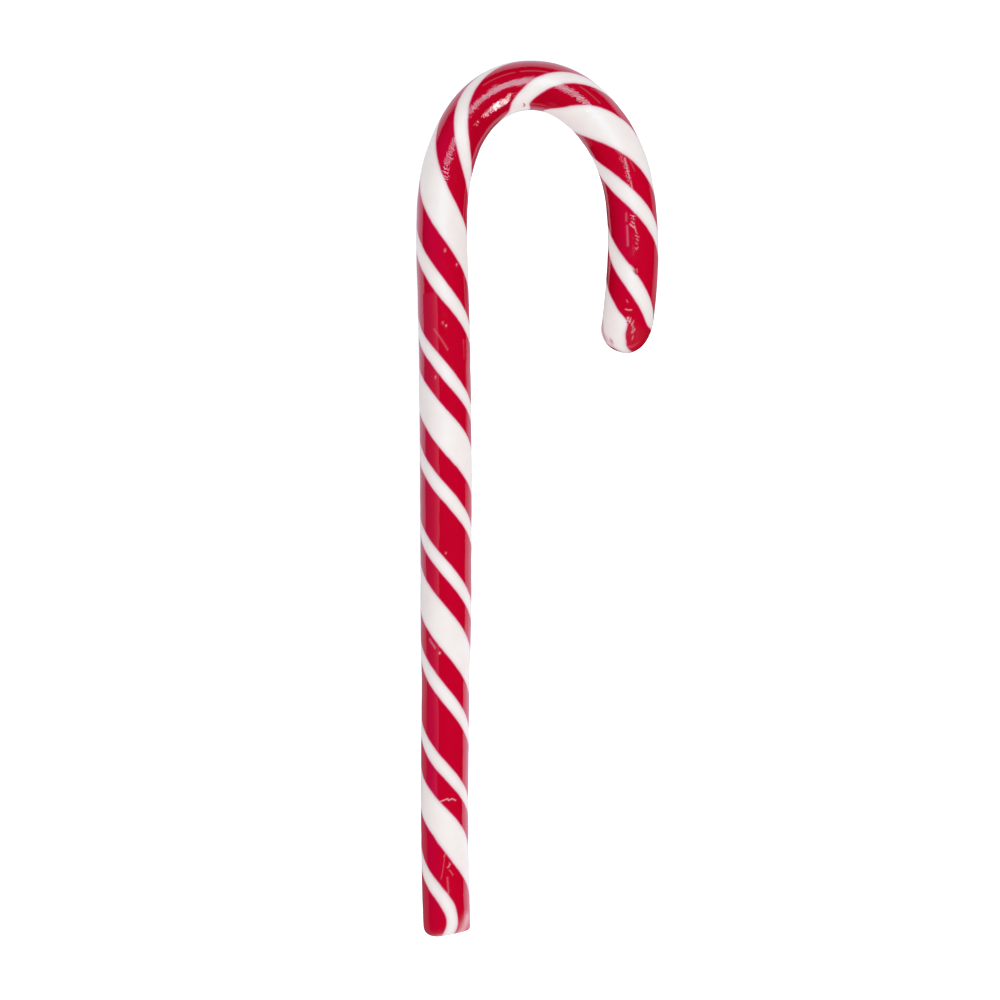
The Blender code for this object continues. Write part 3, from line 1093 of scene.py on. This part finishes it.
    def write_bake_map(self, mesh: bpy.types.Mesh, rings: np.ndarray, columns: np.ndarray) -> None:
        """Lay the rolled-out skin on its map, as strips side by side with gaps between them.

        Across a strip is the angle round the rod, and up it is the distance along it from the
        strip's first cut. Each face has its own corners there, so nothing wraps round.

        Args:
            mesh: The mesh, with its faces made as skin_mesh makes them.
            rings: The rings' distances along the rod.
            columns: The columns' angles round the rod.
        """
        cuts = self.strip_cuts()
        edges = np.append(columns, columns[0] + 2 * np.pi)
        across = (edges - edges[0]) / (2 * np.pi)
        left, right = across[:-1], across[1:]
        bands = len(rings) - 1
        strip = np.searchsorted(cuts, (rings[:-1] + rings[1:]) / 2) - 1
        low = np.repeat(rings[:-1][:, None], len(columns), axis=1)
        high = np.repeat(rings[1:][:, None], len(columns), axis=1)
        lefts, rights = np.tile(left, (bands, 1)), np.tile(right, (bands, 1))
        strips = np.repeat(strip[:, None], len(columns), axis=1)
        quad_u = np.stack((lefts, rights, rights, lefts), axis=-1).ravel()
        quad_s = np.stack((low, low, high, high), axis=-1).ravel()
        middle = (left + right) / 2
        first, final = np.full(len(columns), rings[0]), np.full(len(columns), rings[-1])
        foot_u = np.stack((middle, right, left), axis=-1).ravel()
        foot_s = np.stack((np.zeros(len(columns)), first, first), axis=-1).ravel()
        tip_u = np.stack((middle, left, right), axis=-1).ravel()
        tip_s = np.stack((np.full(len(columns), self.rod.length), final, final), axis=-1).ravel()
        u = np.concatenate((quad_u, foot_u, tip_u))
        s = np.concatenate((quad_s, foot_s, tip_s))
        ends = np.repeat((0, self.map_strips - 1), 3 * len(columns))
        number = np.concatenate((np.repeat(strips.ravel(), 4), ends))
        gap = self.map_gap
        width = (1.0 - gap * (self.map_strips + 1)) / self.map_strips
        map_u = gap + number * (width + gap) + u * width
        span = self.rod.length / self.map_strips
        map_v = gap + (s - cuts[number]) / span * (1.0 - 2.0 * gap)
        layer = mesh.uv_layers.new(name=BAKE_MAP)
        flat = np.stack((map_u, map_v), axis=-1).astype(np.float32)
        layer.uv.foreach_set("vector", flat.ravel())


class LightReach(Enum):
    """Which part of the light that leaves the sugar a lamp or card takes part in."""

    BODY = "it lights the sugar, but isn't mirrored in its gloss"
    GLOSS = "it is mirrored in the gloss, but doesn't light the sugar"

    def apply(self, thing: bpy.types.Object) -> None:
        """Hide the thing from the camera, from shadows and from the other part.

        Args:
            thing: The lamp's or card's object.
        """
        thing.visible_camera = False
        thing.visible_shadow = False
        thing.visible_transmission = False
        thing.visible_diffuse = self is LightReach.BODY
        thing.visible_glossy = self is LightReach.GLOSS


def direction(turn: float, lean: float) -> np.ndarray:
    """Give the direction at an azimuth, from +X toward +Y, and an angle from vertical."""
    flat = np.array((math.cos(turn), math.sin(turn), 0.0))
    return math.sin(lean) * flat + np.array((0.0, 0.0, math.cos(lean)))


@dataclass(frozen=True)
class SoftBox:
    """One soft lamp: where it hangs as seen from its aim, how large it looks, its light."""

    name: str
    reach: LightReach
    azimuth: float
    from_vertical: float
    width: float
    height: float
    radiance: float
    colour: str = "#FFFFFF"
    round_shape: bool = False
    distance: float = 1.0

    def hang(self) -> bpy.types.Object:
        """Hang the lamp in the direction that its angles say, facing its aim.

        A side is twice the distance times the tangent of half the angle it fills, and the
        power is pi times the area times the radiance.

        Returns:
            The lamp's object.
        """
        turn, lean = math.radians(self.azimuth), math.radians(self.from_vertical)
        towards = direction(turn, lean)
        lamp = bpy.data.lights.new(self.name, "AREA")
        lamp.shape = "ELLIPSE" if self.round_shape else "RECTANGLE"
        lamp.size = 2 * self.distance * math.tan(math.radians(self.width) / 2)
        lamp.size_y = 2 * self.distance * math.tan(math.radians(self.height) / 2)
        area = lamp.size * lamp.size_y * (math.pi / 4 if self.round_shape else 1.0)
        lamp.energy = math.pi * area * self.radiance
        lamp.color = linear_colour(self.colour)[:3]
        thing = bpy.data.objects.new(self.name, lamp)
        thing.location = tuple(np.array(AIM) + towards * self.distance)
        thing.rotation_euler = (lean, 0.0, turn + math.pi / 2)
        bpy.context.scene.collection.objects.link(thing)
        self.reach.apply(thing)
        return thing


def grid_mesh(name: str, points: np.ndarray, light: np.ndarray) -> bpy.types.Mesh:
    """Make a sheet from a grid of points, with the light at each point as an attribute.

    Args:
        name: The mesh's name.
        points: The grid's points, row by row, as rows by columns by 3.
        light: The light at each point, as rows by columns, or with red, green and blue too.

    Returns:
        The mesh.
    """
    rows, columns = light.shape[:2]
    corner = (np.arange(rows - 1)[:, None] * columns + np.arange(columns - 1)).ravel()
    quads = np.stack((corner, corner + 1, corner + columns + 1, corner + columns), axis=-1)
    mesh = bpy.data.meshes.new(name)
    mesh.from_pydata(points.reshape(-1, 3).tolist(), [], quads.tolist())
    kind, field_name = ("FLOAT", "value") if light.ndim == 2 else ("FLOAT_VECTOR", "vector")
    attribute = mesh.attributes.new("light", kind, "POINT")
    attribute.data.foreach_set(field_name, light.ravel().astype(np.float32))
    return mesh


@dataclass(frozen=True)
class MirroredCard:
    """A glowing card that only the gloss sees, with its light painted on its corners."""

    name: str

    def build(self, points: np.ndarray, light: np.ndarray) -> bpy.types.Object:
        """Make the card from a grid of points.

        Args:
            points: The grid's points, row by row, as rows by columns by 3.
            light: The radiance at each point in red, green and blue, in the same shape.

        Returns:
            The card's object.
        """
        mesh = grid_mesh(self.name, points, light)
        material = bpy.data.materials.new(self.name)
        material.use_nodes = True
        tree = material.node_tree
        tree.nodes.remove(tree.nodes["Principled BSDF"])
        painted = add_node(tree, "ShaderNodeAttribute", {}, {"attribute_name": "light"}, "Color")
        glow = add_node(tree, "ShaderNodeEmission", {"Color": painted, "Strength": 1.0})
        tree.links.new(glow, tree.nodes["Material Output"].inputs["Surface"])
        material.cycles.emission_sampling = "NONE"
        mesh.materials.append(material)
        card = bpy.data.objects.new(self.name, mesh)
        bpy.context.scene.collection.objects.link(card)
        LightReach.GLOSS.apply(card)
        return card


@dataclass(frozen=True)
class WindowCard:
    """The bright oval card that the crown mirrors as a window: its place and size in degrees."""

    azimuth: float = -56.0
    from_vertical: float = 57.0
    width: float = 13.0
    height: float = 50.0
    radiance: float = 30.0
    distance: float = 1.0
    full_up_to: float = 0.75
    points_across: int = 41
    points_up: int = 81

    def hang(self) -> bpy.types.Object:
        """Hang the card square to its aim.

        Across and up go from -1 to 1 over its width and height, and its light falls off toward
        the rim of the oval, where the root of the sum of their squares is 1.

        Returns:
            The card's object.
        """
        turn, lean = math.radians(self.azimuth), math.radians(self.from_vertical)
        half_width, half_height = (
            self.distance * math.tan(math.radians(size) / 2) for size in (self.width, self.height)
        )
        level = direction(turn + math.pi / 2, math.pi / 2)
        upward = direction(turn, lean - math.pi / 2)
        across, up = np.meshgrid(
            *(np.linspace(-1.0, 1.0, many) for many in (self.points_across, self.points_up))
        )
        points = np.array(AIM) + self.distance * direction(turn, lean)
        points = points + across[..., None] * half_width * level
        points = points + up[..., None] * half_height * upward
        glow = self.radiance * (1 - smooth_step(np.hypot(across, up), self.full_up_to, 1.0))
        return MirroredCard("window_card").build(points, np.repeat(glow[..., None], 3, axis=-1))


@dataclass(frozen=True)
class SoftZone:
    """A soft-edged box in plan: where it rises from 0 to 1 and falls back, in x and in y.

    A side that isn't given lies so far out that the zone has no edge there.
    """

    x_rise: tuple[float, float] = (-9.0, -8.0)
    x_fall: tuple[float, float] = (8.0, 9.0)
    y_rise: tuple[float, float] = (-9.0, -8.0)
    y_fall: tuple[float, float] = (8.0, 9.0)

    def over(self, x: np.ndarray, y: np.ndarray) -> np.ndarray:
        """Give how far inside each place is, 0 to 1: each rise times what its fall leaves."""
        inside = smooth_step(x, *self.x_rise) * (1 - smooth_step(x, *self.x_fall))
        return inside * smooth_step(y, *self.y_rise) * (1 - smooth_step(y, *self.y_fall))


@dataclass
class Studio:
    """The plain pale floor, the soft light and the cards that the gloss mirrors."""

    floor_size: float = 6.0
    # How far from its middle the floor is finely divided, and by how many lines.
    floor_fine: float = 0.2
    floor_lines: int = 201
    floor_colour: str = "#959595"
    floor_glow: float = 0.85
    # What the floor sends back over its own colour: in general, less left of the cane and
    # behind it, and more inside the hook.
    floor_bounce: tuple[float, float, float] = (0.38, -0.36, 0.55)
    bounce_behind: SoftZone = SoftZone(x_fall=(0.005, 0.025), y_rise=(-0.060, 0.0))
    bounce_within: SoftZone = SoftZone(
        x_fall=(-0.004, 0.006), y_rise=(0.020, 0.035), y_fall=(0.055, 0.065)
    )
    # Left of the shaft, and behind the hook.
    outer_zones: tuple[SoftZone, ...] = (
        SoftZone(x_fall=(-0.0195, -0.0125)),
        SoftZone(y_rise=(0.062, 0.075)),
    )
    sky_seen: float = 1.1
    sky_light: float = 0.95
    sky_gloss: float = 0.001
    lamps: tuple[SoftBox, ...] = (
        SoftBox("key_light", LightReach.BODY, 10.0, 35.0, 40.0, 40.0, 0.55),
        SoftBox("front_light", LightReach.BODY, -60.0, 55.0, 60.0, 60.0, 0.25),
        SoftBox("overhead_box", LightReach.GLOSS, 85.0, 19.0, 40.0, 26.0, 8.6, "#ABEEFF", True),
    )
    card_left: float = -0.120
    card_front: float = -0.140
    card_back: float = 0.190
    # The card's right edge at distances from front to back.
    card_right: tuple[tuple[float, float], ...] = ((-0.140, 0.047), (0.000, 0.047), (0.040, 0.036))
    card_glow: float = 1.24
    card_tint: str = "#E8E8FF"
    # The card's light, at distances from front to back: left of the cane, and right of it.
    left_light: tuple[tuple[float, float], ...] = (
        (-0.075, 0.25), (-0.040, 0.42), (-0.015, 1.0), (0.020, 1.2), (0.050, 1.45), (0.080, 1.3),
    )
    right_light: tuple[tuple[float, float], ...] = (
        (-0.030, 1.65), (-0.015, 1.25), (0.005, 1.0), (0.060, 1.05),
    )
    # Outside the arm of the hook, and the light there from front to back.
    beyond_arm: SoftZone = SoftZone(x_rise=(0.012, 0.020), y_rise=(0.0, 0.012))
    arm_light: tuple[float, float, float] = (0.55, 0.028, 0.037)
    # Inside the hook, where the card is dark, and the parts of that which are lit after all.
    dark_share: float = 0.95
    dark_zones: tuple[SoftZone, ...] = (
        SoftZone(x_rise=(-0.013, -0.004), x_fall=(-0.004, 0.005), y_rise=(0.020, 0.040)),
        SoftZone(x_rise=(0.000, 0.006), y_rise=(-0.015, 0.033)),
    )
    lit_zones: tuple[SoftZone, ...] = (
        SoftZone(x_rise=(0.0015, 0.0055), x_fall=(0.0055, 0.0095), y_rise=(0.034, 0.042)),
        SoftZone(x_rise=(-0.006, -0.001), y_rise=(0.050, 0.058)),
    )
    card_height: float = 0.0002
    card_points: tuple[int, int] = (160, 200)
    rod_radius: float = 0.0043
    # In the cane's shade the card keeps this share of its light, up to this far from it. Far
    # out it loses the other share, between the two distances.
    shade: tuple[float, float] = (0.45, 0.006)
    far_fade: tuple[float, float, float] = (0.85, 0.025, 0.090)
    side_card_x: float = -0.030
    side_card_points: tuple[int, int] = (24, 48)
    # The side card's foot, and its top edge at its front and at its back.
    side_card_foot: float = 0.0044
    side_card_top: tuple[tuple[float, float], ...] = ((-0.058, 0.0261), (0.035, 0.0356))
    # Its light: the share of the way up, then red, green and blue.
    side_light: tuple[tuple[float, float, float, float], ...] = (
        (0.00, 0.20, 0.05, 0.42), (0.25, 0.22, 0.06, 0.46), (0.39, 0.25, 0.08, 0.50),
        (0.55, 0.36, 0.15, 0.65), (0.75, 0.50, 0.29, 0.82), (1.00, 0.65, 0.38, 1.10),
    )
    side_light_ends: tuple[float, float] = (0.85, 1.0)
    # Where along the side card its green rises, and how many times over.
    side_green_from: tuple[float, float] = (-0.045, -0.020)
    side_green: tuple[float, float] = (1.0, 2.2)
    # Black flags, each from one place in plan to another, with its lowest and highest z.
    flags: tuple[tuple[float, ...], ...] = (
        (0.0030, 0.028, 0.0030, 0.057, 0.0000, 0.0085),
        (-0.0075, -0.090, -0.0075, 0.048, 0.0092, 0.0360),
        (0.0215, 0.012, 0.0215, 0.060, 0.0092, 0.0250),
        (0.0080, 0.003, 0.0250, 0.012, 0.0090, 0.0330),
    )

    def build(self, rod_line: np.ndarray) -> None:
        """Lay the floor, set the sky, hang the lamps and stand the cards.

        Args:
            rod_line: The middle of the cane's rod in plan, as points by 2.
        """
        self.lay_floor()
        self.set_sky()
        for lamp in self.lamps:
            lamp.hang()
        self.lay_floor_card(rod_line)
        self.stand_side_card()
        WindowCard().hang()
        self.stand_flags()

    def lay_floor(self) -> None:
        """Lay a plain matt floor that glows to the camera, so that it stays pale in the shade.

        It also sends some light back up to the cane's sides, as its bounce says.
        """
        half = self.floor_size / 2
        fine = np.linspace(-self.floor_fine, self.floor_fine, self.floor_lines)
        lines = np.concatenate(((-half,), fine, (half,)))
        x, y = np.meshgrid(lines, lines)
        outer = self.outer_side(x, y)
        general, behind, within = self.floor_bounce
        light = general + behind * self.bounce_behind.over(x, y) * outer
        light += within * self.bounce_within.over(x, y) * (1 - outer)
        mesh = grid_mesh("studio_floor", np.stack((x, y, np.zeros_like(x)), axis=-1), light)
        material = bpy.data.materials.new("studio_paper_matt_white")
        material.use_nodes = True
        tree = material.node_tree
        shader = tree.nodes["Principled BSDF"]
        shader.inputs["Base Color"].default_value = linear_colour(self.floor_colour)
        shader.inputs["Roughness"].default_value = 1.0
        shader.inputs["Specular IOR Level"].default_value = 0.0
        shader.inputs["Emission Color"].default_value = (1.0, 1.0, 1.0, 1.0)
        seen = add_node(tree, "ShaderNodeLightPath", {}, output="Is Camera Ray")
        bounce = add_node(tree, "ShaderNodeAttribute", {}, {"attribute_name": "light"}, "Fac")
        glow = add_node(
            tree,
            "ShaderNodeMath",
            {0: seen, 1: self.floor_glow, 2: bounce},
            {"operation": "MULTIPLY_ADD"},
        )
        tree.links.new(glow, shader.inputs["Emission Strength"])
        mesh.materials.append(material)
        floor = bpy.data.objects.new("studio_floor", mesh)
        bpy.context.scene.collection.objects.link(floor)
        floor.visible_glossy = False

    def outer_side(self, x: np.ndarray, y: np.ndarray) -> np.ndarray:
        """Give 1 left of the shaft and behind the hook, and 0 to the right of the shaft."""
        return np.maximum(*(zone.over(x, y) for zone in self.outer_zones))

    def set_sky(self) -> None:
        """Light the room evenly from all round, with a dim sky in the gloss.

        The strength is the light on matt surfaces, plus what the camera sees beyond it, less
        what the gloss is spared.
        """
        world = bpy.data.worlds.new("studio_sky")
        world.use_nodes = True
        tree = world.node_tree
        camera_ray = add_node(tree, "ShaderNodeLightPath", {}, output="Is Camera Ray")
        gloss_ray = camera_ray.node.outputs["Is Glossy Ray"]
        seen = add_node(
            tree,
            "ShaderNodeMath",
            {0: camera_ray, 1: self.sky_seen - self.sky_light, 2: self.sky_light},
            {"operation": "MULTIPLY_ADD"},
        )
        strength = add_node(
            tree,
            "ShaderNodeMath",
            {0: gloss_ray, 1: self.sky_gloss - self.sky_light, 2: seen},
            {"operation": "MULTIPLY_ADD"},
        )
        background = tree.nodes["Background"]
        background.inputs["Color"].default_value = (1.0, 1.0, 1.0, 1.0)
        tree.links.new(strength, background.inputs["Strength"])
        bpy.context.scene.world = world

    def lay_floor_card(self, rod_line: np.ndarray) -> None:
        """Lay the bright sheet round the cane that its rims mirror.

        Its light goes from front to back as the two lists say, one for the left of the cane
        and behind it and one for its right, and is dimmer outside the arm of the hook. Inside
        the hook it is dark, except for a lit strip along the arm. Close to the cane the sheet
        is in its shade, and far out it fades.

        Args:
            rod_line: The middle of the cane's rod in plan, as points by 2.
        """
        share, y = np.meshgrid(
            np.linspace(0.0, 1.0, self.card_points[0]),
            np.linspace(self.card_front, self.card_back, self.card_points[1]),
        )
        right_at, right = np.array(self.card_right).T
        x = self.card_left + share * (np.interp(y, right_at, right) - self.card_left)
        points = np.stack((x, y, np.full_like(x, self.card_height)), axis=-1)
        away = np.hypot(*(points[..., axis, None] - rod_line[:, axis] for axis in (0, 1)))
        gap = away.min(axis=-1) - self.rod_radius
        outer = self.outer_side(x, y)
        patch = np.maximum(*(zone.over(x, y) for zone in self.dark_zones))
        for zone in self.lit_zones:
            patch *= 1 - zone.over(x, y)
        glow = np.interp(y, *np.array(self.right_light).T) * (1 - self.dark_share * patch)
        glow += (np.interp(y, *np.array(self.left_light).T) - glow) * outer
        level, *span = self.arm_light
        arm = self.beyond_arm.over(x, y) * (1 - outer)
        glow += (level * smooth_step(y, *span) - glow) * arm
        kept, reach = self.shade
        glow *= kept + (1 - kept) * smooth_step(gap, 0.0, reach)
        lost, *span = self.far_fade
        glow *= 1 - lost * smooth_step(gap, *span)
        light = np.array(linear_colour(self.card_tint)[:3]) * self.card_glow * glow[..., None]
        MirroredCard("floor_card").build(points, light)

    def stand_side_card(self) -> None:
        """Stand the card to the left of the shaft that puts a soft violet band along it.

        Its top edge climbs from front to back, and its light fades downward from there, green
        and red faster than blue. It is a little less at the front, and less green there.
        """
        ends, tops = np.array(self.side_card_top).T
        lengthways, upward = self.side_card_points
        y, climb = np.meshgrid(np.linspace(*ends, lengthways), np.linspace(0.0, 1.0, upward))
        z = self.side_card_foot + climb * (np.interp(y, ends, tops) - self.side_card_foot)
        points = np.stack((np.full_like(y, self.side_card_x), y, z), axis=-1)
        shares, *channels = np.array(self.side_light).T
        light = np.stack([np.interp(climb, shares, channel) for channel in channels], axis=-1)
        light *= np.interp(y, ends, self.side_light_ends)[..., None]
        light[..., 1] *= np.interp(y, self.side_green_from, self.side_green)
        MirroredCard("side_card").build(points, light)

    def stand_flags(self) -> None:
        """Stand black flags that shade the gloss.

        The one inside the hook keeps the shaft and the arm out of each other's gloss. The
        others keep the window's glare off the shaft, the arm and the tip.
        """
        for number, (x, y, end_x, end_y, low, high) in enumerate(self.flags, start=1):
            points = np.array([[(x, y, z), (end_x, end_y, z)] for z in (low, high)])
            MirroredCard(f"black_flag_{number}").build(points, np.zeros((2, 2, 3)))


@dataclass
class Camera:
    """A long lens straight above the cane, so that the cane shows as nearly flat on."""

    lens: float = 300.0
    sensor: float = 36.0
    view_width: float = 0.171429
    aim: tuple[float, float, float] = (-0.00640, -0.00028, 0.0044)
    clip_end: float = 20.0

    def place(self) -> None:
        """Hang the camera as high as its lens needs to take in the view's width.

        The height over the aim is half the view's width over the tangent of half the lens's
        angle, which is half the sensor over the lens.
        """
        camera = bpy.data.cameras.new("camera")
        camera.lens = self.lens
        camera.sensor_width = self.sensor
        camera.clip_end = self.clip_end
        thing = bpy.data.objects.new("camera", camera)
        height = self.view_width / self.sensor * self.lens
        thing.location = (self.aim[0], self.aim[1], self.aim[2] + height)
        bpy.context.scene.collection.objects.link(thing)
        bpy.context.scene.camera = thing
        bpy.context.scene.view_settings.view_transform = "Standard"


def main() -> None:
    """Load the frame, build the camera, the cane and the studio, and log the cane's faces."""
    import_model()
    Camera().place()
    cane = CandyCane()
    piece = cane.build()
    cane.dress(piece)
    LOG.info("%s: %d faces", piece.name, len(piece.data.polygons))
    Studio().build(cane.rod_line())
    LOG.info("studio: floor, lamps and cards")


if __name__ == "__main__":
    logging.basicConfig(level=logging.INFO, format="%(name)s: %(message)s")
    main()
